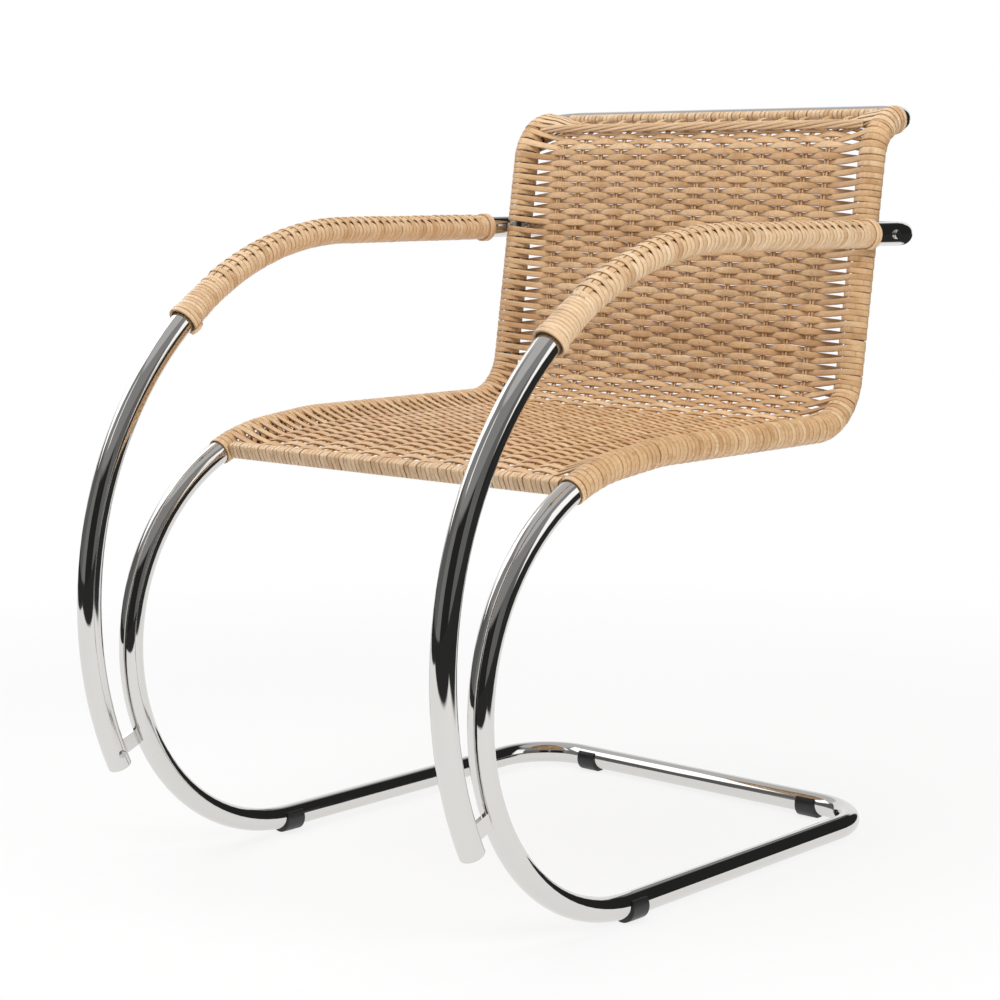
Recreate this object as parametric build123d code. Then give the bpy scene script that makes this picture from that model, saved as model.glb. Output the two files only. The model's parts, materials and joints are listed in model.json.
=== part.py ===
"""Cantilever armchair: bent steel tube frame with a woven cane seat, back and arm wraps.

Millimetres. The chair faces -Y, +Z is up and +X is the sitter's left. While it is built, the
datum is the floor under the centre of the front arc; each piece is moved at the end so that the
origin is the middle of the chair's footprint on the floor.
"""
import os
from dataclasses import dataclass
from math import atan2, cos, degrees, radians, sin, sqrt, tan

from build123d import *

# Steel tube
tube_od = 25.0
tube_wall = 2.0

# Side frame: one bent tube on each side, centre-line sizes
frame_width = 488.0
floor_depth = 435.5
floor_corner_radius = 70.0
front_radius = 219.0
rail_rise_angle = 6.0
rail_rise_run = 48.0
rail_ease_radius = 300.0
seat_run = 254.0
seat_back_radius = 60.0
recline_angle = 8.7
back_run = 237.4
hook_radius = 46.0
hook_rise_angle = 7.5
hook_run = 3.1
top_corner_radius = 35.0

# Arm: one bent tube on each side, centre-line sizes
arm_height = 663.5
arm_centre_rise = 45.5
arm_lead = 51.6
arm_outset = 2.0
arm_sweep_angle = 115.0
arm_corner_radius = 40.0
arm_overrun = 15.0

# Fixing of the arm to the back upright
spacer_length = 3.0
spacer_od = 11.0
bolt_diameter = 6.0
bolt_head_diameter = 10.0
bolt_head_height = 2.4
nut_diameter = 9.0
nut_height = 4.0

# Lug between the lower end of the arm and the leg
lug_height = 17.0
lug_thickness = 5.0
lug_station = 15.0
lug_tongue = 8.0
lug_screw_diameter = 5.0
lug_screw_head = 8.0
lug_screw_head_height = 2.0

# Plug in the lower end of the arm
plug_flange = 1.5
plug_depth = 4.0

# Sleeves that join the two halves of each cross bar
splice_length = 90.0
splice_wall = 1.8

# Clip-on glides
glide_base = 3.5
glide_length = 24.0
glide_wall = 2.4
glide_flat = 0.4
glide_grip = 7.5
rear_glide_spacing = 322.0

# Cane
wrap_thickness = 2.1
arm_wrap_thickness = 2.1
arm_wrap_start_angle = 40.0
arm_wrap_bolt_gap = 30.0
binding_thickness = 4.5
binding_width = 11.0
sheet_thickness = 6.4
sheet_offset = 0.0
row_pitch = 6.35
row_relief = 1.6
edge_gap_length = 34.0
edge_gap_width = 4.7

# Front bar of the seat, a flat bar with rounded edges inside a cane wrap
front_bar_angle = 23.2
front_bar_depth = 8.0
front_bar_height = 13.0
front_bar_corner = 3.0
front_wrap_thickness = 2.4
front_wrap_lead = 12.0

# Border at the top of the back
border_rod_diameter = 12.5
border_rod_lean = 8.0
border_braid_diameter = 8.0
border_braid_drop = 30.0

# Shares of a rim's height that its rounding or chamfer takes
rim_round = 0.45
crown_round = 0.6
binding_chamfer = 0.3

# Clearances
slide_clearance = 0.1
hole_clearance = 0.2
cane_clearance = 0.3

# Sizes that follow from the values above
tube_radius = tube_od / 2
bore_radius = tube_radius - tube_wall
half_width = frame_width / 2
tube_height = glide_base + tube_radius
arm_radius = arm_height - tube_height - front_radius - arm_centre_rise
wrap_radius = tube_radius + slide_clearance + wrap_thickness
arm_wrap_radius = tube_radius + slide_clearance + arm_wrap_thickness
UP = Vector(0, 0, 1)
REAR = Vector(0, 1, 0)
LEFT = Vector(1, 0, 0)


@dataclass
class Feed:
    """A straight stretch of tube."""
    length: float


@dataclass
class Bend:
    """A bend towards a direction, by an angle in degrees."""
    radius: float
    angle: float
    towards: Vector


def bend_point(start, direction, inward, radius, angle):
    """Point reached on a bend after turning by an angle in radians."""
    return start + direction * radius * sin(angle) + inward * radius * (1 - cos(angle))


def bent_path(start, heading, moves):
    """Follow a tube bender's feeds and bends. Return the wire and the length reached after each move."""
    point = Vector(start)
    direction = Vector(heading).normalized()
    edges = []
    stations = [0.0]
    for move in moves:
        if isinstance(move, Feed):
            end = point + direction * move.length
            edges.append(Edge.make_line(point, end))
            stations.append(stations[-1] + move.length)
        else:
            inward = (move.towards - direction * move.towards.dot(direction)).normalized()
            turn = radians(move.angle)
            half_way = bend_point(point, direction, inward, move.radius, turn / 2)
            end = bend_point(point, direction, inward, move.radius, turn)
            edges.append(Edge.make_three_point_arc(point, half_way, end))
            stations.append(stations[-1] + move.radius * turn)
            direction = direction * cos(turn) + inward * sin(turn)
        point = end
    return Wire(edges), stations


def stretch(path, start, end):
    """The part of a path between two lengths along it."""
    return path.trim(start / path.length, end / path.length)


def place(path, station):
    """Point and direction of a path at a length along it."""
    share = station / path.length
    return path @ share, path % share


def rod_along(path, radius):
    """A round bar swept along a path."""
    return sweep(Plane(origin=path @ 0, z_dir=path % 0) * Circle(radius), path=path)


def ring_along(path, outer_radius, inner_radius):
    """A round tube swept along a path."""
    return rod_along(path, outer_radius) - rod_along(path, inner_radius)


def cross_rod(y, z, half_length, radius):
    """A round bar that runs across the chair."""
    return Plane(origin=(-half_length, y, z), z_dir=LEFT) * extrude(Circle(radius), 2 * half_length)


def side_rod(start_x, end_x, y, z, radius):
    """A round bar along X between two places."""
    return Plane(origin=(start_x, y, z), z_dir=LEFT) * extrude(Circle(radius), end_x - start_x)


# Centre line of the left side frame, from the middle of the rear floor bar to the middle of the top bar
frame_path, frame_stations = bent_path(
    (0, floor_depth, tube_height),
    LEFT,
    [
        Feed(half_width - floor_corner_radius),
        Bend(floor_corner_radius, 90, -REAR),
        Feed(floor_depth - floor_corner_radius),
        Bend(front_radius, 180 - rail_rise_angle, UP),
        Feed(rail_rise_run),
        Bend(rail_ease_radius, rail_rise_angle, -UP),
        Feed(seat_run),
        Bend(seat_back_radius, 90 - recline_angle, UP),
        Feed(back_run),
        Bend(hook_radius, 90 - recline_angle - hook_rise_angle, REAR),
        Feed(hook_run),
        Bend(top_corner_radius, 90, -LEFT),
        Feed(half_width - top_corner_radius),
    ],
)
runner_end = frame_stations[3]
front_arc_end = frame_stations[4]
back_bend_start = frame_stations[7]
upright_start = frame_stations[8]
hook_end = frame_stations[11]
top_bar = frame_path @ 1
front_bar_station = front_arc_end - front_radius * radians(front_bar_angle - rail_rise_angle)

# Where the arm passes the back upright
upright_foot, _ = place(frame_path, upright_start)
bolt_y = upright_foot.Y + (arm_height - upright_foot.Z) * tan(radians(recline_angle))
arm_front_x = half_width + arm_outset
arm_front_y = -front_radius - arm_lead
arm_rear_x = half_width + tube_od + spacer_length
arm_splay = atan2(arm_rear_x - arm_front_x, bolt_y - arm_front_y)
arm_rearward = Vector(sin(arm_splay), cos(arm_splay), 0)
bolt_reach = sqrt((arm_rear_x - arm_front_x) ** 2 + (bolt_y - arm_front_y) ** 2)

# Centre line of the left arm, from its lower end to the middle of the bar behind the back
arm_drop_angle = radians(arm_sweep_angle - 90)
arm_foot = Vector(arm_front_x, arm_front_y, arm_height - arm_radius * (1 + sin(arm_drop_angle)))
arm_foot += arm_rearward * arm_radius * (1 - cos(arm_drop_angle))
arm_foot_heading = UP * cos(arm_drop_angle) - arm_rearward * sin(arm_drop_angle)
arm_level_run = bolt_reach + arm_overrun - arm_radius
arm_turn = 90 + degrees(arm_splay)
arm_bar_reach = arm_rear_x + arm_overrun * sin(arm_splay) - arm_corner_radius * cos(arm_splay)
arm_path, arm_stations = bent_path(
    arm_foot,
    arm_foot_heading,
    [
        Bend(arm_radius, arm_sweep_angle, arm_rearward),
        Feed(arm_level_run),
        Bend(arm_corner_radius, arm_turn, -LEFT),
        Feed(arm_bar_reach),
    ],
)
arm_level_start = arm_stations[1]
arm_bolt_station = arm_stations[2] - arm_overrun
arm_bar = arm_path @ 1

# Solid envelopes of the left tubes, used to trim what meets them
frame_envelope = rod_along(frame_path, tube_radius)
arm_envelope = rod_along(arm_path, tube_radius)

# Box centre on the floor
front_reach = arm_front_y - tube_radius
rear_reach = top_bar.Y + tube_radius
middle = Location((0, -(front_reach + rear_reach) / 2, 0))


def bolt_hole(start_x, end_x, radius):
    """A round cut on the axis of the arm bolt."""
    return side_rod(start_x, end_x, bolt_y, arm_height, radius)


def side_frame():
    """Bent tube of one side, with the bolt holes in its upright."""
    tube = frame_envelope - rod_along(frame_path, bore_radius)
    return tube - bolt_hole(half_width - tube_od, half_width + tube_od, bolt_diameter / 2 + hole_clearance)


def lug_frame():
    """Plane at the lug: its X axis runs from the arm to the leg, its Z axis along the chair's width."""
    origin, direction = place(arm_path, lug_station)
    across = direction.cross(LEFT).normalized()
    if across.dot(REAR) < 0:
        across = -across
    return Plane(origin=origin, x_dir=across, z_dir=LEFT)


def lug_blank(growth):
    """The lug before it is trimmed, from its tongue in the arm to the middle of the leg."""
    reach = arm_lead + tube_od
    outline = Rectangle(reach + lug_tongue, lug_height + 2 * growth)
    plate = extrude(outline, lug_thickness / 2 + growth, both=True)
    return lug_frame() * (Pos((reach - lug_tongue) / 2, 0, 0) * plate)


def lug_screw_hole(radius):
    """A round cut through the arm tube and the tongue of the lug."""
    bar = extrude(Circle(radius), tube_od, both=True)
    return lug_frame() * bar


def arm_tube():
    """Bent tube of one arm, with its bolt hole, lug slot and lug screw hole."""
    tube = arm_envelope - rod_along(arm_path, bore_radius)
    tube -= bolt_hole(arm_rear_x - tube_od, arm_rear_x + tube_od, bolt_diameter / 2 + hole_clearance)
    slot = lug_blank(hole_clearance) & arm_half_space()
    tube -= slot
    return tube - inner_half(lug_screw_hole(lug_screw_diameter / 2 + hole_clearance))


def arm_half_space():
    """Space on the leg side of the arm's centre line, beside the lug."""
    block = Pos(tube_od, 0, 0) * Box(2 * tube_od, 2 * tube_od, 2 * tube_od)
    return lug_frame() * block


def inner_half(shape):
    """Keep the part of a shape on the chair's inner side of the lug."""
    block = Pos(0, 0, -tube_od) * Box(2 * tube_od, 2 * tube_od, 2 * tube_od)
    return shape & (lug_frame() * block)


def arm_lug():
    """Flat lug with a tongue in the arm, butted against the leg."""
    lug = lug_blank(0) - rod_along(stretch(frame_path, runner_end, front_arc_end), tube_radius)
    lug = lug.solids().sort_by_distance(place(arm_path, lug_station)[0])[0]
    return lug - lug_screw_hole(lug_screw_diameter / 2)


def lug_screw():
    """Screw from the inner side of the arm through the tongue of the lug."""
    length = tube_radius + lug_screw_head_height
    shank = extrude(Circle(lug_screw_diameter / 2), length + lug_thickness)
    head = extrude(Circle(lug_screw_head / 2), length)
    head = fillet(head.edges().group_by(Axis.Z)[0], lug_screw_head_height * rim_round)
    seat = lug_frame() * Pos(0, 0, -length)
    return seat * shank + (seat * head - arm_envelope)


def arm_plug():
    """Flat plug in the lower end of the arm."""
    origin, direction = place(arm_path, 0)
    spigot = extrude(Circle(bore_radius - slide_clearance), plug_depth)
    flange = Pos(0, 0, -plug_flange) * extrude(Circle(tube_radius), plug_flange)
    flange = fillet(flange.edges().group_by(Axis.Z)[0], plug_flange * rim_round)
    return Plane(origin=origin, z_dir=direction) * (spigot + flange)


def arm_spacer():
    """Spacer between the arm and the back upright, on the bolt, hollowed to both tubes."""
    spacer = bolt_hole(half_width, arm_rear_x, spacer_od / 2)
    spacer -= bolt_hole(half_width, arm_rear_x, bolt_diameter / 2 + hole_clearance)
    spacer -= frame_envelope
    return spacer - arm_envelope


def arm_bolt():
    """Round-headed bolt through the arm, the spacer and the upright."""
    head_seat = arm_rear_x + tube_radius
    nut_seat = half_width - tube_radius
    shank = bolt_hole(nut_seat - nut_height / 2, head_seat, bolt_diameter / 2)
    head = bolt_hole(arm_rear_x, head_seat + bolt_head_height, bolt_head_diameter / 2)
    head = fillet(head.edges().group_by(Axis.X)[-1], bolt_head_height * crown_round)
    return shank + (head - arm_envelope)


def arm_nut():
    """Cap nut on the inner side of the upright."""
    seat = half_width - tube_radius
    nut = bolt_hole(seat - nut_height, seat, nut_diameter / 2)
    nut = fillet(nut.edges().group_by(Axis.X)[0], nut_height * rim_round)
    return nut - bolt_hole(seat - nut_height / 2, seat, bolt_diameter / 2)


def splice(y, z):
    """Sleeve inside a cross bar, over the butt of its two halves."""
    outer = bore_radius - slide_clearance
    return cross_rod(y, z, splice_length / 2, outer) - cross_rod(y, z, splice_length / 2, outer - splice_wall)


def glide(path_part):
    """Clip-on glide: a saddle under the tube, thickest at the floor and open at the top."""
    sink = glide_base - glide_wall + glide_flat
    saddle = Pos(0, 0, -sink) * rod_along(path_part, tube_radius + glide_wall)
    centre = (path_part @ 0 + path_part @ 1) * 0.5
    block = Box(4 * glide_length, 4 * glide_length, 2 * tube_od)
    saddle -= Pos(centre.X, centre.Y, -tube_od) * block
    saddle -= Pos(centre.X, centre.Y, tube_height + glide_grip + tube_od) * block
    return saddle - rod_along(long_stretch(path_part), tube_radius)


def long_stretch(path_part):
    """The same path with a straight lead at each end, for a cut that passes right through."""
    start = path_part @ 0
    end = path_part @ 1
    lead_in = Edge.make_line(start - (path_part % 0) * tube_wall, start)
    lead_out = Edge.make_line(end, end + (path_part % 1) * tube_wall)
    return Wire([lead_in, *path_part.edges(), lead_out])


def front_glide():
    """Glide at the foot of the front arc."""
    return glide(stretch(frame_path, runner_end - glide_length / 2, runner_end + glide_length / 2))


def rear_glide():
    """Glide under the rear floor bar."""
    middle_station = rear_glide_spacing / 2
    return glide(stretch(frame_path, middle_station - glide_length / 2, middle_station + glide_length / 2))


def front_bar_plane(x):
    """Plane across the front bar: local X along the seat surface, local Y up from it."""
    origin, direction = place(frame_path, front_bar_station)
    return Plane(origin=(x, origin.Y, origin.Z), x_dir=direction, z_dir=-LEFT)


def front_bar_section(growth):
    """Section of the front bar, grown all round for its wrap."""
    depth = front_bar_depth + 2 * growth
    height = front_bar_height + 2 * growth
    return RectangleRounded(depth, height, front_bar_corner + growth)


def front_bar_block(growth, half_length):
    """A length of the front bar's section across the chair."""
    return front_bar_plane(half_length) * extrude(front_bar_section(growth), 2 * half_length)


def front_bar():
    """Flat bar between the two side frames."""
    bar = front_bar_block(0, half_width)
    bar -= frame_envelope
    return bar - frame_envelope.mirror(Plane.YZ)


def front_wrap():
    """Cane wound round the front bar."""
    half_length = half_width - wrap_radius - cane_clearance
    wrap = front_bar_block(slide_clearance + front_wrap_thickness, half_length)
    return wrap - front_bar_block(slide_clearance, half_length)


def frame_wrap(start, end):
    """Cane wound round a stretch of the side frame."""
    return ring_along(stretch(frame_path, start, end), wrap_radius, tube_radius + slide_clearance)


def seat_wrap():
    """Cane wrap of the seat rail, open where the front bar enters the tube."""
    wrap = frame_wrap(front_bar_station - front_wrap_lead, back_bend_start)
    return wrap - front_bar_block(hole_clearance, half_width)


def back_wrap():
    """Cane wrap of the back upright and its hook, open at the arm bolt."""
    wrap = frame_wrap(back_bend_start, hook_end)
    wrap -= bolt_hole(half_width, arm_rear_x, spacer_od / 2 + hole_clearance)
    return wrap - bolt_hole(half_width - tube_od, half_width, nut_diameter / 2 + hole_clearance)


arm_wrap_start = arm_level_start - arm_radius * radians(arm_wrap_start_angle)
arm_wrap_end = arm_bolt_station - arm_wrap_bolt_gap


def arm_wrap():
    """Cane wrap of the arm between its two bindings."""
    part = stretch(arm_path, arm_wrap_start + binding_width, arm_wrap_end - binding_width)
    return ring_along(part, arm_wrap_radius, tube_radius + slide_clearance)


def arm_binding(start):
    """Thick binding at one end of the arm wrap, a straight ring."""
    origin, direction = place(arm_path, start + binding_width / 2)
    half_length = binding_width / 2 - cane_clearance
    band = extrude(Circle(tube_radius + binding_thickness), half_length, both=True)
    band = chamfer(band.edges(), binding_thickness * binding_chamfer)
    band -= extrude(Circle(tube_radius + slide_clearance), binding_width, both=True)
    return Plane(origin=origin, z_dir=direction) * band


sheet_near = max(abs(sheet_offset) - sheet_thickness / 2, 0)
sheet_half_width = half_width - sqrt(wrap_radius ** 2 - sheet_near ** 2) - cane_clearance
sheet_start = front_bar_station + front_bar_depth / 2 + front_wrap_thickness + 2 * cane_clearance
border_reach = tube_radius + border_rod_diameter / 2 + cane_clearance
border_y = top_bar.Y - border_reach * cos(radians(border_rod_lean))
border_z = top_bar.Z + border_reach * sin(radians(border_rod_lean))


def sheet_point(station, lift):
    """Place on the woven sheet's side edge, lifted towards the sitter. The sheet runs on past the hook."""
    point, direction = place(frame_path, min(station, hook_end))
    normal = direction.cross(LEFT) * -1
    point += direction * max(station - hook_end, 0) + normal * (sheet_offset + lift)
    return Vector(-sheet_half_width, point.Y, point.Z)


def row_edges(marks, crown, valley):
    """One face of the sheet in side view: an arc for each row of the weave."""
    edges = []
    for low, high in zip(marks, marks[1:]):
        start_point = sheet_point(low, valley)
        middle_point = sheet_point((low + high) / 2, crown)
        end_point = sheet_point(high, valley)
        edges.append(Edge.make_three_point_arc(start_point, middle_point, end_point))
    return edges


def edge_gap(station, side):
    """Wedge cut between two pairs of rows at one side edge."""
    point = sheet_point(station, 0)
    direction = (sheet_point(station + 1, 0) - point).normalized()
    origin = (side * sheet_half_width, point.Y, point.Z)
    plane = Plane(origin=origin, x_dir=LEFT * -side, z_dir=direction.cross(LEFT))
    tip = (edge_gap_length, 0)
    outline = make_face(Polyline((0, edge_gap_width / 2), tip, (0, -edge_gap_width / 2), close=True))
    return plane * extrude(outline, sheet_thickness, both=True)


def woven_sheet(start, end):
    """Ribbed sheet with a rib for each row, and wedge gaps along both side edges."""
    rows = round((end - start) / row_pitch)
    marks = [start + (end - start) * row / rows for row in range(rows + 1)]
    crown = sheet_thickness / 2
    valley = crown - row_relief
    front = row_edges(marks, crown, valley)
    back = row_edges(marks, -crown, -valley)
    ends = [Edge.make_line(sheet_point(mark, -valley), sheet_point(mark, valley)) for mark in (start, end)]
    sheet = extrude(make_face(front + back + ends), 2 * sheet_half_width, dir=LEFT)
    left_gaps = [edge_gap(mark, 1) for mark in marks[1:-1:2]]
    right_gaps = [edge_gap(mark, -1) for mark in marks[2:-1:2]]
    return sheet - (left_gaps + right_gaps)


def woven_seat():
    """Woven sheet of the seat, from the front bar to the bend of the back."""
    return woven_sheet(sheet_start, back_bend_start)


def woven_back():
    """Woven sheet of the back, from the bend up and over to the border rod, open at the arm nuts."""
    hook, direction = place(frame_path, hook_end)
    run = (border_y - hook.Y) / direction.Y - border_rod_diameter / 2 - cane_clearance
    sheet = woven_sheet(back_bend_start, hook_end + run)
    corner = rod_along(stretch(frame_path, hook_end, frame_path.length), tube_radius + cane_clearance)
    sheet -= corner + corner.mirror(Plane.YZ)
    nut_room = bolt_hole(half_width - tube_od, half_width, nut_diameter / 2 + hole_clearance)
    return sheet - nut_room - nut_room.mirror(Plane.YZ)


def border_rod():
    """Wrapped rod along the top edge of the weave, in front of the top bar."""
    return cross_rod(border_y, border_z, half_width - top_corner_radius, border_rod_diameter / 2)


def border_braid():
    """Braided border on the face of the weave, below the border rod."""
    point, direction = place(frame_path, hook_end - border_braid_drop)
    normal = direction.cross(LEFT) * -1
    lift = sheet_offset + sheet_thickness / 2 + border_braid_diameter / 2 + cane_clearance
    spot = point + normal * lift
    half_length = half_width - wrap_radius - cane_clearance
    return cross_rod(spot.Y, spot.Z, half_length, border_braid_diameter / 2)


pairs = {
    "side_frame": side_frame(),
    "arm_tube": arm_tube(),
    "arm_lug": arm_lug(),
    "lug_screw": lug_screw(),
    "arm_plug": arm_plug(),
    "arm_spacer": arm_spacer(),
    "arm_bolt": arm_bolt(),
    "arm_nut": arm_nut(),
    "front_glide": front_glide(),
    "rear_glide": rear_glide(),
    "seat_wrap": seat_wrap(),
    "back_wrap": back_wrap(),
    "arm_wrap": arm_wrap(),
    "arm_front_binding": arm_binding(arm_wrap_start),
    "arm_rear_binding": arm_binding(arm_wrap_end - binding_width),
}
singles = {
    "floor_bar_splice": splice(floor_depth, tube_height),
    "top_bar_splice": splice(top_bar.Y, top_bar.Z),
    "arm_bar_splice": splice(arm_bar.Y, arm_bar.Z),
    "seat_front_bar": front_bar(),
    "seat_front_wrap": front_wrap(),
    "woven_seat": woven_seat(),
    "woven_back": woven_back(),
    "border_rod": border_rod(),
    "border_braid": border_braid(),
}

os.makedirs("parts", exist_ok=True)
for name, shape in singles.items():
    export_step(shape.moved(middle), f"parts/{name}.step")
for name, shape in pairs.items():
    export_step(shape.moved(middle), f"parts/{name}_left.step")
    export_step(shape.mirror(Plane.YZ).moved(middle), f"parts/{name}_right.step")
print("one side's frame tube", round(frame_path.length), "mm, arm tube", round(arm_path.length), "mm")
print("moved along Y by", round(middle.position.Y, 4), "mm")
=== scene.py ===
# %% [markdown]
# # A cantilever armchair in chromed tube and woven cane
#
# The chair is two bent steel tubes that carry a woven cane seat and back, and two bent arms wound
# with cane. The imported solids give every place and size. This lesson keeps the steel as it is and
# gives it a mirror finish, and it replaces each plain cane solid with real strands.

# %% Load the frame
import json
import math

import bmesh
import bpy
import numpy as np
from mathutils import Euler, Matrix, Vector


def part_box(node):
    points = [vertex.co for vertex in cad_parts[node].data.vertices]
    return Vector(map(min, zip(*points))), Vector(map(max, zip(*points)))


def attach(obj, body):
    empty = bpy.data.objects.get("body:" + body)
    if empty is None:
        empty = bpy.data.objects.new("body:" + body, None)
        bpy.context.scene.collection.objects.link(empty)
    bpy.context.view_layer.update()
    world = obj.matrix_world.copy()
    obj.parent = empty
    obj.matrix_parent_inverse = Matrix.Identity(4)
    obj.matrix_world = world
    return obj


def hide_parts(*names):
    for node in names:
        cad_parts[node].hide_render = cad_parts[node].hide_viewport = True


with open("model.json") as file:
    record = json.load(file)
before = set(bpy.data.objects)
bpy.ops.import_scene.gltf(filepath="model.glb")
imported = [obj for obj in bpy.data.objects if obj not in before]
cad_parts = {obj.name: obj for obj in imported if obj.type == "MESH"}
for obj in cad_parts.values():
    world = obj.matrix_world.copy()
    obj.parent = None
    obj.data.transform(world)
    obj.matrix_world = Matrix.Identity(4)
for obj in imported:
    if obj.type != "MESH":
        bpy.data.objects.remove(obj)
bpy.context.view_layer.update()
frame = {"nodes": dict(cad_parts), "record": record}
nodes = frame["nodes"]
MM = 0.001
draw = np.random.default_rng(41)

# %% [markdown]
# ## Centre lines of the bent tubes
#
# Cane follows the tubes, so each strand needs to know where a tube runs. A bent tube is a list of
# runs, each with a length and a turn. The heading changes evenly along a run, so it can be read by
# interpolation, and adding up small steps along the heading gives the place. A flat pattern that
# is drawn as (across, up, along) is then laid onto the tube by these two readings.

# %% Centre lines
STEP = 0.25 * MM


class CentreLine:
    """A tube's centre line in one upright plane, from runs of (length, turn in degrees)."""

    def __init__(self, start, heading, runs):
        lengths = [length for length, turn in runs]
        turns = [turn for length, turn in runs]
        self.marks = np.concatenate([[0.0], np.cumsum(lengths)])
        self.headings = np.radians(heading + np.concatenate([[0.0], np.cumsum(turns)]))
        self.length = self.marks[-1]
        self.fine = np.arange(0.0, self.length + STEP, STEP)
        middle = np.interp(self.fine[:-1] + STEP / 2, self.marks, self.headings)
        self.along = start[0] + np.concatenate([[0.0], np.cumsum(np.cos(middle) * STEP)])
        self.height = start[1] + np.concatenate([[0.0], np.cumsum(np.sin(middle) * STEP)])

    def at(self, station, lift):
        """Place in the plane at a station, raised by lift towards the left of the heading."""
        heading = np.interp(station, self.marks, self.headings)
        inside = np.clip(station, 0.0, self.length)
        beyond = station - inside
        along = np.interp(inside, self.fine, self.along) + beyond * np.cos(heading)
        height = np.interp(inside, self.fine, self.height) + beyond * np.sin(heading)
        return along - lift * np.sin(heading), height + lift * np.cos(heading)


def arc(radius, turn):
    """A run round a bend: its length and its turn."""
    return radius * abs(math.radians(turn)), turn


TUBE_RADIUS = 12.5 * MM
HALF_WIDTH = 244 * MM
FRONT_RADIUS = 219 * MM
BAR_HEADING = 23.2
RAIL_RISE = 6.0
RISE_RUN = 48 * MM
EASE_RADIUS = 300 * MM
SEAT_RUN = 254 * MM
SEAT_BACK_RADIUS = 60 * MM
RECLINE = 8.7
BACK_RUN = 237.4 * MM
HOOK_RADIUS = 46 * MM
HOOK_RISE = 7.5
HOOK_RUN = 3.1 * MM

bar_low, bar_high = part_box("seat_front_bar")
bar_centre = (bar_low + bar_high) / 2
rail = CentreLine(
    (bar_centre.y, bar_centre.z),
    BAR_HEADING,
    [
        arc(FRONT_RADIUS, RAIL_RISE - BAR_HEADING),
        (RISE_RUN, 0.0),
        arc(EASE_RADIUS, -RAIL_RISE),
        (SEAT_RUN, 0.0),
        arc(SEAT_BACK_RADIUS, 90 - RECLINE),
        (BACK_RUN, 0.0),
        arc(HOOK_RADIUS, RECLINE + HOOK_RISE - 90),
        (HOOK_RUN, 0.0),
    ],
)
BEND_START = rail.marks[4]
HOOK_END = rail.length
print("seat rail and upright", round(rail.length / MM, 1), "mm, bend at", round(BEND_START / MM, 1))

# %% [markdown]
# ## Strands
#
# Weave and wraps are all strands of split cane: a flat strip, slightly crowned, a few millimetres
# wide. A curve with a bevel object sweeps such a section along a route. The routes are drawn in a
# flat space where the strip's width always points along Z, so the curve's Z-up twist keeps every
# strip flat, and the finished mesh is then laid onto the tubes. Each strand gets its own tone, kept
# as an attribute, because no two strips of cane have the same colour.

# %% Strand helpers
SECTION_POINTS = 8


def strip_section(name, width, thickness, squareness):
    """A flat closed curve, the cross-section of a strip of cane."""
    curve = bpy.data.curves.new(name, "CURVE")
    curve.dimensions = "2D"
    spline = curve.splines.new("POLY")
    spline.points.add(SECTION_POINTS - 1)
    for index, point in enumerate(spline.points):
        turn = 2 * math.pi * (index + 0.5) / SECTION_POINTS
        across = math.copysign(abs(math.cos(turn)) ** squareness, math.cos(turn))
        along = math.copysign(abs(math.sin(turn)) ** squareness, math.sin(turn))
        point.co = (across * thickness / 2, along * width / 2, 0, 1)
    spline.use_cyclic_u = True
    section = bpy.data.objects.new(name, curve)
    bpy.context.scene.collection.objects.link(section)
    return section


def lay_strands(name, routes, width, thickness, closed=False, squareness=0.6):
    """Sweep a strip along each route in flat space and return the mesh, one tone for each strand."""
    section = strip_section(name + "_section", width, thickness, squareness)
    curve = bpy.data.curves.new(name, "CURVE")
    curve.dimensions = "3D"
    curve.twist_mode = "Z_UP"
    curve.bevel_mode = "OBJECT"
    curve.bevel_object = section
    for route in routes:
        spline = curve.splines.new("POLY")
        spline.points.add(len(route) - 1)
        points = np.concatenate([np.asarray(route, float), np.ones((len(route), 1))], axis=1)
        spline.points.foreach_set("co", points.ravel())
        spline.use_cyclic_u = closed
    holder = bpy.data.objects.new(name, curve)
    bpy.context.scene.collection.objects.link(holder)
    graph = bpy.context.evaluated_depsgraph_get()
    mesh = bpy.data.meshes.new_from_object(holder.evaluated_get(graph), depsgraph=graph)
    mesh.name = name
    bpy.data.objects.remove(holder)
    bpy.data.objects.remove(section)
    counts = [len(route) * SECTION_POINTS for route in routes]
    tones = np.repeat(draw.random(len(routes)), counts)
    mesh.attributes.new("tone", "FLOAT", "POINT").data.foreach_set("value", tones.astype(np.float32))
    return mesh


def points_of(mesh):
    """The mesh's points as rows of three numbers."""
    flat = np.empty(len(mesh.vertices) * 3, np.float32)
    mesh.vertices.foreach_get("co", flat)
    return flat.reshape(-1, 3).astype(float)


def move_points(mesh, columns):
    """Put the mesh's points at new places."""
    mesh.vertices.foreach_set("co", np.stack(columns, axis=1).astype(np.float32).ravel())
    mesh.update()


def join_meshes(name, meshes):
    """One mesh from several, with open ends capped and normals turned outwards."""
    shape = bmesh.new()
    for mesh in meshes:
        shape.from_mesh(mesh)
        bpy.data.meshes.remove(mesh)
    ends = [edge for edge in shape.edges if edge.is_boundary]
    bmesh.ops.holes_fill(shape, edges=ends, sides=SECTION_POINTS)
    bmesh.ops.recalc_face_normals(shape, faces=shape.faces)
    for face in shape.faces:
        face.smooth = True
    joined = bpy.data.meshes.new(name)
    shape.to_mesh(joined)
    shape.free()
    return joined


def cane_piece(name, mesh, material, slot, *replaced):
    """Make the object of a cane piece, which rides on the chair and stands for plain solids."""
    mesh.materials.append(material)
    piece = bpy.data.objects.new(name, mesh)
    bpy.context.scene.collection.objects.link(piece)
    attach(piece, "root")
    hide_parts(*replaced)
    triangles = sum(len(face.vertices) - 2 for face in mesh.polygons)
    print(name, "has", triangles, "triangles")


print("a strip's section has", SECTION_POINTS, "points")

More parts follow.
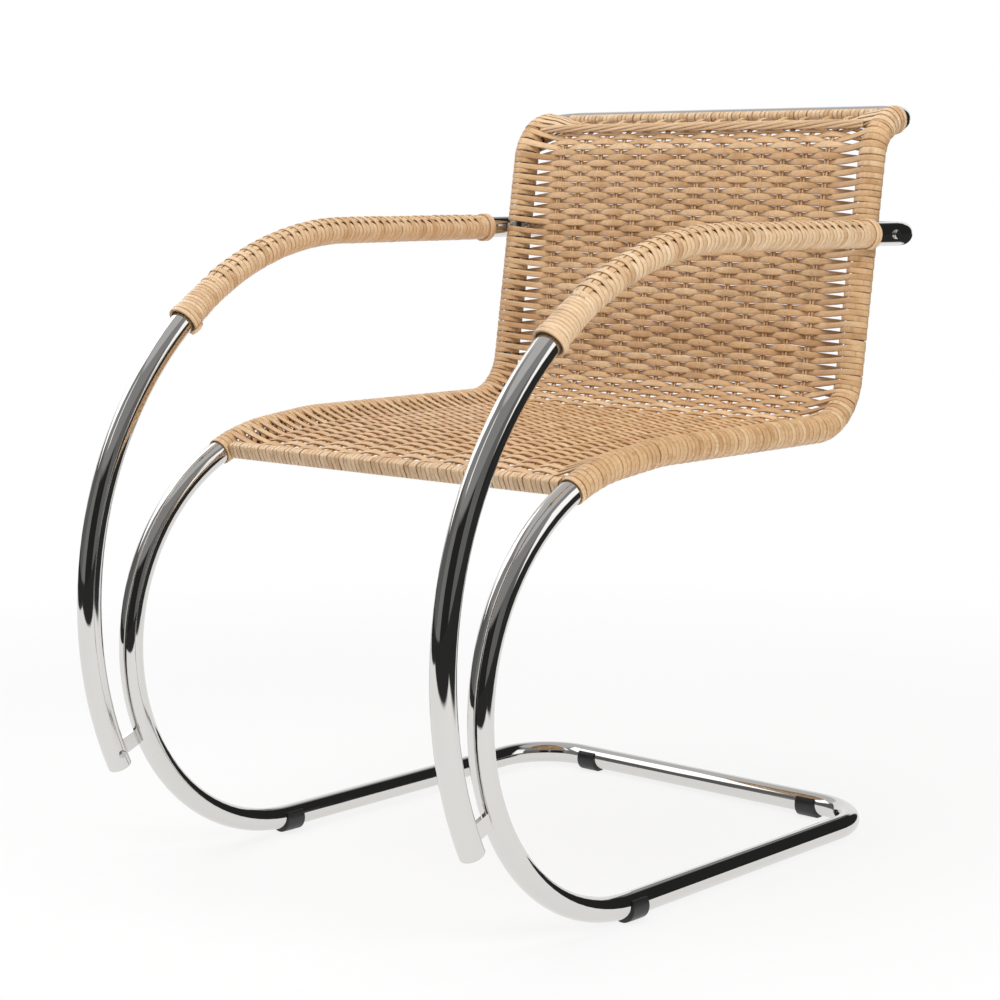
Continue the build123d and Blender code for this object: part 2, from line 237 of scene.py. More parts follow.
# %% [markdown]
# ## Cane finish
#
# Split cane is honey coloured, with long fibres along the strip, a silky lacquer and darker patches
# near the joints of the plant. The fibres run along the strip, so the pattern reads the strip's UV
# map, and the tone attribute shifts a whole strand towards straw or towards brown. The fibre pattern
# is a node group, because the weave, the wraps and the borders all use it.

# %% Fibre pattern
def new_group(name, inputs, outputs):
    """An empty shader node group with float inputs and the outputs that are asked for."""
    group = bpy.data.node_groups.new(name, "ShaderNodeTree")
    for label, value in inputs.items():
        socket = group.interface.new_socket(label, in_out="INPUT", socket_type="NodeSocketFloat")
        socket.default_value = value
    for label, kind in outputs.items():
        group.interface.new_socket(label, in_out="OUTPUT", socket_type=kind)
    return group, group.nodes.new("NodeGroupInput"), group.nodes.new("NodeGroupOutput")


def add_node(tree, kind, **settings):
    """A node with some of its properties set."""
    node = tree.nodes.new(kind)
    for key, value in settings.items():
        setattr(node, key, value)
    return node


def ramp(tree, stops):
    """A colour ramp with stops of (place, colour)."""
    node = tree.nodes.new("ShaderNodeValToRGB")
    elements = node.color_ramp.elements
    while len(elements) < len(stops):
        elements.new(0.5)
    for element, (place, colour) in zip(elements, stops):
        element.position = place
        element.color = (*colour, 1.0)
    return node


def cane_fibre_group():
    """Fibres along a strip: masks of fine streaks, of long stains, and of the strip's two edges, which
    carry painted shade.
    """
    group, given, made = new_group(
        "cane_fibre",
        {"Along": 40.0, "Around": 7.0},
        {"Streaks": "NodeSocketFloat", "Stains": "NodeSocketFloat", "Edges": "NodeSocketFloat"},
    )
    links = group.links
    uv = add_node(group, "ShaderNodeUVMap", uv_map="UVMap")
    split = group.nodes.new("ShaderNodeSeparateXYZ")
    links.new(uv.outputs["UV"], split.inputs[0])
    tone = add_node(group, "ShaderNodeAttribute", attribute_name="tone")
    along = add_node(group, "ShaderNodeMath", operation="MULTIPLY")
    links.new(split.outputs["X"], along.inputs[0])
    links.new(given.outputs["Along"], along.inputs[1])
    around = add_node(group, "ShaderNodeMath", operation="MULTIPLY")
    links.new(split.outputs["Y"], around.inputs[0])
    links.new(given.outputs["Around"], around.inputs[1])
    shift = add_node(group, "ShaderNodeMath", operation="MULTIPLY")
    shift.inputs[1].default_value = 97.0
    links.new(tone.outputs["Fac"], shift.inputs[0])
    fine = group.nodes.new("ShaderNodeCombineXYZ")
    links.new(along.outputs[0], fine.inputs["X"])
    links.new(around.outputs[0], fine.inputs["Y"])
    links.new(shift.outputs[0], fine.inputs["Z"])
    streaks = add_node(group, "ShaderNodeTexNoise", noise_dimensions="3D")
    streaks.inputs["Scale"].default_value = 3.0
    streaks.inputs["Detail"].default_value = 3.0
    links.new(fine.outputs[0], streaks.inputs["Vector"])
    long = group.nodes.new("ShaderNodeCombineXYZ")
    links.new(along.outputs[0], long.inputs["X"])
    links.new(shift.outputs[0], long.inputs["Y"])
    stains = add_node(group, "ShaderNodeTexNoise", noise_dimensions="3D")
    stains.inputs["Scale"].default_value = 0.35
    stains.inputs["Detail"].default_value = 2.0
    links.new(long.outputs[0], stains.inputs["Vector"])
    links.new(streaks.outputs["Fac"], made.inputs["Streaks"])
    links.new(stains.outputs["Fac"], made.inputs["Stains"])
    # Mask of the strip's two edges, which carries the painted shade of the crevices between strips.
    turn = add_node(group, "ShaderNodeMath", operation="MULTIPLY_ADD")
    turn.inputs[1].default_value = 2 * math.pi
    turn.inputs[2].default_value = math.pi / SECTION_POINTS
    links.new(split.outputs["Y"], turn.inputs[0])
    side = add_node(group, "ShaderNodeMath", operation="SINE")
    links.new(turn.outputs[0], side.inputs[0])
    edges = add_node(group, "ShaderNodeMath", operation="ABSOLUTE")
    links.new(side.outputs[0], edges.inputs[0])
    links.new(edges.outputs[0], made.inputs["Edges"])
    return group


cane_fibre = cane_fibre_group()
print("fibre pattern:", cane_fibre.name)

# %% [markdown]
# ### Three kinds of cane
#
# The weave, the wraps and the stakes are cut from the same plant, but the wraps keep more of the
# glossy skin and are lighter. One recipe with three colours, a fibre length and a roughness makes
# all three. The strip's two edges are darkened in the colour, a painted shade for the crevices between
# strips.

# %% Cane materials
# Painted shade: the colour that the strip's two edges are multiplied by, standing for the shadow in the
# crevices between strips.
PAINTED_EDGE_SHADE = (0.68, 0.58, 0.48)


def cane_material(name, straw, honey, brown, along, roughness):
    """Lacquered split cane between three colours, with fibres along the strip."""
    material = bpy.data.materials.new(name)
    material.use_nodes = True
    tree = material.node_tree
    links = tree.links
    shader = tree.nodes["Principled BSDF"]
    fibre = add_node(tree, "ShaderNodeGroup", node_tree=cane_fibre)
    fibre.inputs["Along"].default_value = along
    tone = add_node(tree, "ShaderNodeAttribute", attribute_name="tone")
    whole = ramp(tree, [(0.0, brown), (0.3, honey), (0.75, honey), (1.0, straw)])
    links.new(tone.outputs["Fac"], whole.inputs["Fac"])
    stain = add_node(tree, "ShaderNodeMix", data_type="RGBA", blend_type="MULTIPLY")
    stain_shade = ramp(tree, [(0.3, (0.74, 0.66, 0.58)), (0.5, (1.0, 1.0, 1.0))])
    links.new(fibre.outputs["Stains"], stain_shade.inputs["Fac"])
    stain.inputs["Factor"].default_value = 0.8
    links.new(whole.outputs["Color"], stain.inputs["A"])
    links.new(stain_shade.outputs["Color"], stain.inputs["B"])
    streak = add_node(tree, "ShaderNodeMix", data_type="RGBA", blend_type="MULTIPLY")
    streak_shade = ramp(tree, [(0.32, (0.80, 0.74, 0.66)), (0.62, (1.06, 1.04, 1.0))])
    links.new(fibre.outputs["Streaks"], streak_shade.inputs["Fac"])
    streak.inputs["Factor"].default_value = 0.7
    links.new(stain.outputs["Result"], streak.inputs["A"])
    links.new(streak_shade.outputs["Color"], streak.inputs["B"])
    # Painted shade: the strip's edges are multiplied towards a darker colour, standing for the shadow
    # between neighbouring strips.
    edge = add_node(tree, "ShaderNodeMix", data_type="RGBA", blend_type="MULTIPLY")
    painted_edge_shade = ramp(tree, [(0.72, (1.0, 1.0, 1.0)), (1.0, PAINTED_EDGE_SHADE)])
    links.new(fibre.outputs["Edges"], painted_edge_shade.inputs["Fac"])
    edge.inputs["Factor"].default_value = 1.0
    links.new(streak.outputs["Result"], edge.inputs["A"])
    links.new(painted_edge_shade.outputs["Color"], edge.inputs["B"])
    links.new(edge.outputs["Result"], shader.inputs["Base Color"])
    shader.inputs["Roughness"].default_value = roughness
    shader.inputs["Coat Weight"].default_value = 0.15
    shader.inputs["Coat Roughness"].default_value = 0.25
    bump = tree.nodes.new("ShaderNodeBump")
    bump.inputs["Strength"].default_value = 0.25
    bump.inputs["Distance"].default_value = 0.3 * MM
    links.new(fibre.outputs["Streaks"], bump.inputs["Height"])
    links.new(bump.outputs["Normal"], shader.inputs["Normal"])
    return material


STRAW = (0.76, 0.55, 0.34)
HONEY = (0.68, 0.45, 0.25)
BROWN = (0.57, 0.35, 0.18)
STAKE_HONEY = (0.70, 0.48, 0.28)
WRAP_STRAW = (0.81, 0.62, 0.42)
WRAP_HONEY = (0.76, 0.55, 0.35)
WRAP_BROWN = (0.66, 0.44, 0.25)
weave_cane = cane_material("weave_cane", STRAW, HONEY, BROWN, 40.0, 0.42)
wrap_cane = cane_material("wrap_cane", WRAP_STRAW, WRAP_HONEY, WRAP_BROWN, 9.0, 0.36)
stake_cane = cane_material("stake_cane", STRAW, STAKE_HONEY, BROWN, 60.0, 0.5)
print("cane finishes:", weave_cane.name, wrap_cane.name, stake_cane.name)

# %% [markdown]
# ## Woven seat and back
#
# The panel is a plain weave. Pairs of stakes run from the front bar up to the top border, and the
# weft crosses them row by row, over one pair and under the next. At each side the weft treats the
# tube as one more stake: a row that was in front of the last stakes goes behind the tube, round it,
# and comes back over its front as the next row. Two rows close up at the tube and leave the wedge
# shaped gaps along the edges, and one more turn of cane covers the tube between two such loops.

# %% Rows of weft
STAKE_PAIRS = 14
STAKE_PITCH = 28.8 * MM
ROW_PITCH = 6.35 * MM
FIRST_ROW = 11 * MM
ROWS_PAST_HOOK = 4 * MM
WEFT_BOW = 2.6 * MM
BOW_WANDER = 0.08
ROW_WANDER = 0.22 * MM
WANDER_LENGTH = 70 * MM
WANDER_PHASES = 6.28
WRAP_THICKNESS = 1.9 * MM
WRAP_SLACK = 0.15 * MM
WRAP_MIDDLE = TUBE_RADIUS + WRAP_THICKNESS / 2 + WRAP_SLACK
LOOP_CLOSING = 2.3 * MM
OVER_TURN = 225
BEHIND_TURN = 80
POINTS_PER_STAKE = 4
first_stake = -STAKE_PITCH * (STAKE_PAIRS - 1) / 2
row_count = int((HOOK_END + ROWS_PAST_HOOK - FIRST_ROW) / ROW_PITCH) // 2 * 2


def smooth_step(low, high, value):
    """0 below low, 1 above high, and smooth between them."""
    share = np.clip((value - low) / (high - low), 0, 1)
    return share * share * (3 - 2 * share)


def side_end(side, rank, bow):
    """Route of a row's end, from the last stakes to the tube and round it. Side is -1 or 1.

    Rank is 0 for the upper row of a loop, which goes behind the tube, and 1 for the lower row, which
    comes over its front and goes on round it.
    """
    stake_x = side * -first_stake
    centre_x = side * HALF_WIDTH
    reach = abs(centre_x - stake_x)
    over = 1 if rank else -1
    distance = math.hypot(reach, bow)
    touch = math.acos(WRAP_MIDDLE / distance) * over + math.atan2(bow, reach)
    last = touch + math.radians(OVER_TURN if rank else BEHIND_TURN) * over
    closing = LOOP_CLOSING if rank else -LOOP_CLOSING
    settled = ROW_PITCH / 2 if rank else -LOOP_CLOSING
    touch_x = centre_x - side * WRAP_MIDDLE * math.cos(touch)
    touch_n = WRAP_MIDDLE * math.sin(touch)
    route = []
    for share in (0.2, 0.45, 0.7):
        rise = bow + (touch_n - bow) * share ** 1.3
        route.append((stake_x + (touch_x - stake_x) * share, rise, closing * share ** 2))
    turns = 12 if rank else 5
    for step, angle in enumerate(np.linspace(touch, last, turns)):
        shift = closing + (settled - closing) * min(1.0, 4 * step / turns)
        across = centre_x - side * WRAP_MIDDLE * math.cos(angle)
        route.append((across, WRAP_MIDDLE * math.sin(angle), shift))
    return route


def weft_row(index, station):
    """Route of one row across the chair, with its two ends round the tubes."""
    bow = WEFT_BOW * (1 + BOW_WANDER * draw.normal())
    phase = 1 if index % 2 else -1
    left_rank = 0 if phase > 0 else 1
    right_rank = 1 - left_rank
    left = side_end(-1, left_rank, phase * bow)
    right = side_end(1, right_rank, -phase * bow)
    steps = (STAKE_PAIRS - 1) * POINTS_PER_STAKE
    middle = []
    for step in range(steps + 1):
        share = step / POINTS_PER_STAKE
        middle.append((first_stake + share * STAKE_PITCH, phase * bow * math.cos(math.pi * share), 0.0))
    route = np.array(left[::-1] + middle + right)
    wander = ROW_WANDER * np.sin(route[:, 0] / WANDER_LENGTH + draw.random() * WANDER_PHASES)
    route[:, 2] += station + wander * (np.abs(route[:, 0]) < -first_stake)
    return route


stations = FIRST_ROW + ROW_PITCH * np.arange(row_count)
rows = [weft_row(index, station) for index, station in enumerate(stations)]
print(row_count, "rows of weft")

# %% [markdown]
# ### Panels of weave
#
# A row is wide and full where it passes in front of a pair of stakes and narrow where it goes behind
# them, so the sections of the swept strip are spread or narrowed by how far forwards they lie. The
# tubes get one plain turn in each place that no loop of the weft covers, except at the arm's bolt.
# The weave is cut at the bend into a seat and a back, like the solids that it stands for.

# %% Panels of weave
WEFT_WIDTH = 6.4 * MM
WEFT_THICKNESS = 2.3 * MM
FRONT_WIDENING = 1.30
REAR_NARROWING = 0.74
EDGE_WIDENING = 1.08
EDGE_NARROWING = 1.02
FRONT_FULLNESS = 0.55
TURN_LEAN = math.radians(2.0)
TURN_POINTS = 18
FIRST_TURN = -10 * MM
FRONT_TURNS = 20 * MM
LAST_TURN_SPARE = 3 * MM
BOLT_CLEAR = 7 * MM


def tube_turn(side, station):
    """Route of one closed turn of cane round a side tube."""
    lean = TURN_LEAN * draw.normal()
    angles = np.linspace(0, 2 * math.pi, TURN_POINTS, endpoint=False)
    outward = WRAP_MIDDLE * np.cos(angles)
    towards = WRAP_MIDDLE * np.sin(angles)
    return np.stack([side * HALF_WIDTH + outward, towards, station + outward * math.tan(lean)], axis=1)


def widen_weft(mesh):
    """Spread the weft where it bows forwards, narrow it behind the stakes and towards the tubes."""
    rings = points_of(mesh).reshape(-1, SECTION_POINTS, 3)
    centre = rings.mean(axis=1, keepdims=True)
    bow = np.clip(centre[..., 1] / WEFT_BOW, -1, 1)
    bow = np.sign(bow) * np.abs(bow) ** FRONT_FULLNESS
    across = np.abs(centre[..., 0])
    middle = (FRONT_WIDENING + REAR_NARROWING) / 2
    inner = middle + bow * (FRONT_WIDENING - REAR_NARROWING) / 2
    leaving = smooth_step(-first_stake + STAKE_PITCH / 4, HALF_WIDTH - WRAP_MIDDLE, across)
    outer = EDGE_WIDENING + (EDGE_NARROWING - EDGE_WIDENING) * leaving
    share = smooth_step(-first_stake, -first_stake + STAKE_PITCH / 3, across)
    factor = inner + (outer - inner) * share
    rings[..., 2] = centre[..., 2] + (rings[..., 2] - centre[..., 2]) * factor
    return rings.reshape(-1, 3)


def fold_to_rail(mesh, points):
    """Lay a flat pattern of (across, towards the sitter, along) onto the seat and back."""
    along, height = rail.at(points[:, 2], points[:, 1])
    move_points(mesh, [points[:, 0], along, height])


arm_bolt_y, arm_bolt_z = [(low + high) / 2 for low, high in zip(*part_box("arm_nut_left"))][1:]
along, height = rail.at(rail.fine, np.zeros_like(rail.fine))
bolt_station = rail.fine[np.argmin((along - arm_bolt_y) ** 2 + (height - arm_bolt_z) ** 2)]


def turn_stations(side):
    """Stations of the plain turns on one tube, wherever no loop of the weft covers it."""
    places = np.arange(-3, int(HOOK_END / ROW_PITCH))
    looped = (places >= 0) & (places < row_count) & (places % 2 == (0 if side < 0 else 1))
    turns = stations[0] + (places[~looped] + 0.5) * ROW_PITCH
    return turns[(turns > FIRST_TURN) & (turns < HOOK_END - LAST_TURN_SPARE)]


def weave_panel(name, low, high, *replaced):
    """The part of the weave between two stations, with the turns on its side tubes."""
    chosen = [row for row, station in zip(rows, stations) if low <= station < high]
    weft = lay_strands(name + "_weft", chosen, WEFT_WIDTH, WEFT_THICKNESS, squareness=0.5)
    fold_to_rail(weft, widen_weft(weft))
    first_turn = low - FRONT_TURNS * (low == 0)
    turns = [
        tube_turn(side, station)
        for side in (-1, 1)
        for station in turn_stations(side)
        if first_turn <= station < high and abs(station - bolt_station) > BOLT_CLEAR
    ]
    wraps = lay_strands(name + "_turns", turns, WEFT_WIDTH, WRAP_THICKNESS, closed=True)
    fold_to_rail(wraps, points_of(wraps))
    mesh = join_meshes(name, [weft, wraps])
    cane_piece(name, mesh, weave_cane, "rattan_weave", *replaced)


weave_panel("seat_weave", 0.0, BEND_START, "woven_seat", "seat_wrap_left", "seat_wrap_right")
weave_panel("back_weave", BEND_START, HOOK_END, "woven_back", "back_wrap_left", "back_wrap_right")

# %% [markdown]
# ### Stakes
#
# The stakes are round cane in pairs, and they show only in the small openings between two rows. They
# swing a little from row to row, because the weft pulls them, and rise to the rod at the top.

# %% Stakes
STAKE_DIAMETER = 3.0 * MM
STAKE_HALF_GAP = 1.75 * MM
STAKE_SWING = 0.35 * MM
STAKE_FRONT = 2 * MM
STAKE_REACH = 6 * MM
STAKE_TOP_RISE = 4 * MM
STAKE_RISE_LENGTH = 30 * MM


def stake_route(across, phase):
    """Route of one stake, drawn as (along, towards the sitter, across)."""
    top = HOOK_END + STAKE_REACH
    along = np.arange(-STAKE_FRONT, top, ROW_PITCH / 2)
    swing = STAKE_SWING * np.cos(math.pi * (along - FIRST_ROW) / ROW_PITCH)
    rise = STAKE_TOP_RISE * smooth_step(HOOK_END - STAKE_RISE_LENGTH, top, along)
    return np.stack([along, rise - phase * swing, np.full_like(along, across)], axis=1)


stake_routes = [
    stake_route(first_stake + pair * STAKE_PITCH + side * STAKE_HALF_GAP, 1 if pair % 2 else -1)
    for pair in range(STAKE_PAIRS)
    for side in (-1, 1)
]
stakes = lay_strands("stakes", stake_routes, STAKE_DIAMETER, STAKE_DIAMETER, squareness=1.0)
flat = points_of(stakes)
fold_to_rail(stakes, flat[:, ::-1])
cane_piece("stakes", join_meshes("stakes", [stakes]), stake_cane, "rattan_weave")
print(len(stake_routes), "stakes")

# %% [markdown]
# ## Front bar
#
# A flat bar joins the two tubes at the front of the seat, close wound with strips that stand upright
# on its face. A real winding is one long helix. Closed turns, one strip wide and side by side, look
# the same and need no start or end.

# %% Front bar winding
STRIP_PITCH = 5.7 * MM
STRIP_WIDTH = 5.6 * MM
STRIP_THICKNESS = 1.7 * MM
FRONT_CORNER = 0.45
TURN_WANDER = 0.3 * MM
STRIP_LEAN = 0.25 * MM
STRIP_POINTS = 16
BAR_HALF_DEPTH = 5.3 * MM
BAR_HALF_HEIGHT = 7.9 * MM


def flat_turn(across, half_depth, half_height, corner):
    """One closed turn round a bar, drawn as (along, up, across)."""
    lean = STRIP_LEAN * draw.normal()
    route = []
    for angle in np.linspace(0, 2 * math.pi, STRIP_POINTS, endpoint=False):
        depth = math.copysign(abs(math.cos(angle)) ** corner, math.cos(angle))
        rise = math.copysign(abs(math.sin(angle)) ** corner, math.sin(angle))
        route.append((depth * half_depth, rise * half_height, across + lean * rise))
    return route


def turns_across(half_length, pitch):
    """Places of the turns along a bar."""
    count = int(2 * half_length / pitch)
    even = (np.arange(count) - (count - 1) / 2) * (2 * half_length / count)
    return even + TURN_WANDER * draw.normal(size=count)


wrap_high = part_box("seat_front_wrap")[1]
bar_turns = [
    flat_turn(across, BAR_HALF_DEPTH, BAR_HALF_HEIGHT, FRONT_CORNER)
    for across in turns_across(wrap_high.x, STRIP_PITCH)
]
bar_wind = lay_strands("front_bar_winding", bar_turns, STRIP_WIDTH, STRIP_THICKNESS, closed=True)
flat = points_of(bar_wind)
bar_turn = math.radians(BAR_HEADING)
move_points(
    bar_wind,
    [
        flat[:, 2],
        bar_centre.y + flat[:, 0] * math.cos(bar_turn) - flat[:, 1] * math.sin(bar_turn),
        bar_centre.z + flat[:, 0] * math.sin(bar_turn) + flat[:, 1] * math.cos(bar_turn),
    ],
)
cane_piece("front_bar_winding", join_meshes("front_bar_winding", [bar_wind]), wrap_cane, "rattan_cane",
           "seat_front_wrap")

# %% [markdown]
# ## Top border
#
# At the top of the back the stakes end in a rod, wound like the front bar, and its ends bend forwards
# a little to the hooks.

# %% Border rod
rod_low, rod_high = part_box("border_rod")
rod_centre = (rod_low + rod_high) / 2
rod_radius = (rod_high.z - rod_low.z) / 2
ROD_STRIP = 1.3 * MM
ROD_REACH = 12 * MM
ROD_END_BEND = 3 * MM
ROD_BEND_LENGTH = 8 * MM
rod_turns = [
    flat_turn(across, rod_radius - ROD_STRIP / 2, rod_radius - ROD_STRIP / 2, 1.0)
    for across in turns_across(rod_high.x + ROD_REACH, STRIP_PITCH)
]
rod_wind = lay_strands("border_rod_winding", rod_turns, STRIP_WIDTH, ROD_STRIP, closed=True)
flat = points_of(rod_wind)
bend_start = rod_high.x - ROD_BEND_LENGTH
end_bend = ROD_END_BEND * smooth_step(bend_start, rod_high.x + ROD_REACH, np.abs(flat[:, 2]))
move_points(rod_wind, [flat[:, 2], rod_centre.y - end_bend + flat[:, 0], rod_centre.z + flat[:, 1]])
cane_piece("border_rod_winding", join_meshes("border_rod_winding", [rod_wind]), wrap_cane, "rattan_cane",
           "border_rod")

# %% [markdown]
# ### Border twist
#
# In front of the last rows lies a border of four strands that wind round each other. In the photograph
# it is a looser braid. A twist that stays longer in front than behind gives the same slanting strands
# and is drawn as one helix for each strand.

# %% Border twist
braid_low, braid_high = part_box("border_braid")
braid_centre = (braid_low + braid_high) / 2
BRAID_STRANDS = 4
BRAID_TURN = BRAID_STRANDS * STAKE_PITCH
BRAID_DEPTH = 2.4 * MM
BRAID_RISE = 3.3 * MM
BRAID_FRONT = 0.68
BRAID_LIFT = 1.8 * MM
BRAID_WIDTH = 3.4 * MM
BRAID_THICKNESS = 2.6 * MM
BRAID_STEP = 3 * MM


def braid_route(strand):
    """Route of one strand of the twist, drawn as (across, backwards, up)."""
    across = np.arange(braid_low.x, braid_high.x, BRAID_STEP)
    share = (across / BRAID_TURN + strand / BRAID_STRANDS) % 1.0
    angle = np.interp(share, [0.0, BRAID_FRONT, 1.0], [-math.pi / 2, math.pi / 2, 1.5 * math.pi])
    return np.stack([across, -BRAID_DEPTH * np.cos(angle), BRAID_RISE * np.sin(angle)], axis=1)


braid = lay_strands(
    "border_twist", [braid_route(strand) for strand in range(BRAID_STRANDS)], BRAID_WIDTH, BRAID_THICKNESS
)
flat = points_of(braid)
move_points(braid, [flat[:, 0], braid_centre.y + flat[:, 1], braid_centre.z + BRAID_LIFT + flat[:, 2]])
cane_piece("border_twist", join_meshes("border_twist", [braid]), wrap_cane, "rattan_cane", "border_braid")

# %% [markdown]
# ### Corner lashings
#
# At both top corners a few strands leave the border and climb slantwise over the hook, which ties the
# border to the tube. Each one is an open strand: three points on the weave, then a turn round the tube.

# %% Corner lashings
LASHINGS = 5
LASHING_PITCH = 6.0 * MM
LASHING_TOP = -1 * MM
LASHING_WIDTH = 5.4 * MM
LASHING_THICKNESS = 1.6 * MM
LASHING_LIFT = 1.2 * MM
LASHING_FROM = 65
LASHING_TURN = 225


def lashing(side, index):
    """A strand that leaves the border and climbs slantwise over a top corner, round the hook."""
    last = HOOK_END + LASHING_TOP - index * LASHING_PITCH
    slant = (3.4 * index - 9) * MM
    reach = (44 + 4 * index) * MM
    radius = WRAP_MIDDLE + LASHING_LIFT
    route = [
        (side * (HALF_WIDTH - reach), 2 * MM, last - slant),
        (side * (HALF_WIDTH - 0.75 * reach), 5 * MM, last - 0.8 * slant),
        (side * (HALF_WIDTH - 0.5 * reach), 10 * MM, last - 0.55 * slant),
    ]
    for angle in np.radians(np.linspace(LASHING_FROM, LASHING_FROM + LASHING_TURN, 14)):
        share = min(1.0, 2 * (math.degrees(angle) - LASHING_FROM) / LASHING_TURN)
        across = side * (HALF_WIDTH - radius * math.cos(angle))
        route.append((across, radius * math.sin(angle), last - slant * 0.4 * (1 - share)))
    return route


lashings = [lashing(side, index) for side in (-1, 1) for index in range(LASHINGS)]
corner = lay_strands("corner_lashings", lashings, LASHING_WIDTH, LASHING_THICKNESS)
fold_to_rail(corner, points_of(corner))
cane_piece("corner_lashings", join_meshes("corner_lashings", [corner]), wrap_cane, "rattan_cane")

# %% [markdown]
# ## Arms
#
# Each arm is close wound with strips. Along its top lies a leader of flat strips, and the winding
# goes over it and under it by turns, which leaves a row of dark slits on each side of the leader.
# Towards the rear the strips slant to a chevron on the arm's sides. The winding starts and ends
# plain. The arm is drawn in one upright plane, which is splayed outwards towards the rear.

# %% Arm centre line
ARM_FRONT_X = 246 * MM
ARM_BOLT_X = 272 * MM
ARM_HEIGHT = 663.5 * MM
ARM_RADIUS = 383 * MM
ARM_START_ANGLE = 40.0
ARM_REAR_GAP = 30 * MM
arm_front_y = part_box("arm_tube_left")[0].y + TUBE_RADIUS
splay = math.atan2(ARM_BOLT_X - ARM_FRONT_X, arm_bolt_y - arm_front_y)
bolt_reach = math.hypot(ARM_BOLT_X - ARM_FRONT_X, arm_bolt_y - arm_front_y)
start_turn = math.radians(ARM_START_ANGLE)
arm_line = CentreLine(
    (ARM_RADIUS * (1 - math.sin(start_turn)), ARM_HEIGHT - ARM_RADIUS * (1 - math.cos(start_turn))),
    ARM_START_ANGLE,
    [arc(ARM_RADIUS, -ARM_START_ANGLE), (bolt_reach - ARM_RADIUS - ARM_REAR_GAP, 0.0)],
)
print("wound length of an arm", round(arm_line.length / MM, 1), "mm")

# %% [markdown]
# ### Strips of the arm
#
# A strip is drawn flat, as its place round the arm, its distance out and its place along. Over the
# leader it is lifted, under the leader it drops, and every second strip does the same. The leader's
# own strips wave the other way, so that they part where they cross.

# %% Strips of the arm
ARM_STRIP_PITCH = 6.0 * MM
PLAIN_STRIP_PITCH = 4.3 * MM
ARM_STRIP = 1.5 * MM
ARM_MIDDLE_RADIUS = 13.5 * MM
ARM_FLARE = 2.2 * MM
ARM_FLARE_LENGTH = 45 * MM
LEADER_FROM = 60 * MM
LEADER_SPARE = 24 * MM
LEADER_HALF_ANGLE = math.radians(46)
LEADER_STRIPS = 3
LEADER_THICKNESS = 1.1 * MM
OVER_LIFT = 1.6 * MM
UNDER_DROP = 1.0 * MM
CHEVRON_FRONT = 1.5 * MM
CHEVRON_REAR = 8.5 * MM
STRIP_WANDER = 0.12 * MM
LEADER_EASE = math.radians(24)
LEADER_TUCK = 8 * MM
LEADER_LIFT = 0.35 * MM
LEADER_WAVE = 0.65 * MM
FLAT_RADIUS = 15 * MM


def arm_radius_at(station):
    """Middle radius of the winding, flared towards the front end."""
    return ARM_MIDDLE_RADIUS + ARM_FLARE * np.exp(-np.asarray(station) / ARM_FLARE_LENGTH)


def arm_turn(station, over):
    """One strip round the arm, drawn as (round, out, along). The seam is underneath."""
    angles = np.radians(np.linspace(-180, 180, 29))
    rearward = smooth_step(0.2, 0.75, station / arm_line.length)
    chevron = CHEVRON_FRONT + (CHEVRON_REAR - CHEVRON_FRONT) * rearward
    along = station + chevron * (np.sin(angles) ** 2 - 0.5)
    out = arm_radius_at(station) + STRIP_WANDER * draw.normal() * np.ones_like(angles)
    if LEADER_FROM < station < arm_line.length - LEADER_SPARE:
        near = 1 - smooth_step(LEADER_HALF_ANGLE, LEADER_HALF_ANGLE + LEADER_EASE, np.abs(angles))
        out = out + near * (OVER_LIFT if over else -UNDER_DROP)
    return np.stack([angles * FLAT_RADIUS, out - FLAT_RADIUS, along], axis=1)


def leader_route(strip):
    """One flat strip of the leader, drawn as (along, out, round)."""
    spread = (strip - (LEADER_STRIPS - 1) / 2) * 2 * LEADER_HALF_ANGLE / LEADER_STRIPS
    end = arm_line.length - LEADER_SPARE + LEADER_TUCK
    along = np.arange(LEADER_FROM - LEADER_TUCK, end, ARM_STRIP_PITCH / 4)
    wave = np.cos(math.pi * ((along - LEADER_FROM) / ARM_STRIP_PITCH - 0.5))
    out = arm_radius_at(along) + LEADER_LIFT + LEADER_WAVE * wave
    return np.stack([along, out - FLAT_RADIUS, np.full_like(along, spread * FLAT_RADIUS)], axis=1)


def fold_to_arm(mesh, round_place, out, along, side):
    """Lay a flat pattern onto the left arm (side 1) or the right arm (side -1)."""
    angle = round_place / FLAT_RADIUS
    radius = out + FLAT_RADIUS
    reach, height = arm_line.at(along, radius * np.cos(angle))
    outward = radius * np.sin(angle)
    x = ARM_FRONT_X + reach * math.sin(splay) + outward * math.cos(splay)
    y = arm_front_y + reach * math.cos(splay) - outward * math.sin(splay)
    move_points(mesh, [side * x, y, height])


plain_turns = np.arange(PLAIN_STRIP_PITCH / 2, LEADER_FROM, PLAIN_STRIP_PITCH)
close_turns = np.arange(LEADER_FROM + ARM_STRIP_PITCH / 2, arm_line.length, ARM_STRIP_PITCH)
print(len(plain_turns), "plain strips and", len(close_turns), "strips over the leader on each arm")

# %% [markdown]
# ### Wound arms
#
# A double ring of cane closes each end of a winding. In the photograph one strand end hangs loose at
# the front of the far arm. Here both arms get one, because they are made by the same function.

# %% Wound arms
def ring_route(station, out, lean):
    """One closed ring of a binding, drawn as (round, out, along)."""
    angles = np.radians(np.linspace(-180, 180, 25))
    outs = np.full_like(angles, out - FLAT_RADIUS)
    return np.stack([angles * FLAT_RADIUS, outs, station + lean * np.sin(angles)], axis=1)


BINDING_WIDTH = 5.0 * MM
BINDING_THICKNESS = 3.0 * MM
REAR_RING_RADIUS = 15.1 * MM
FRONT_RING_RADIUS = 15.9 * MM
TAIL_WIDTH = 4 * MM
TAIL_PLACE = math.radians(-125) * FLAT_RADIUS
TAIL_STEPS = ((-8, 0.8), (-4, 2.6), (2, 3.4), (9, 2.2))
TAIL_ROUTE = [(along * MM, out * MM, TAIL_PLACE) for along, out in TAIL_STEPS]
STRIP_OVERLAP = 0.1 * MM


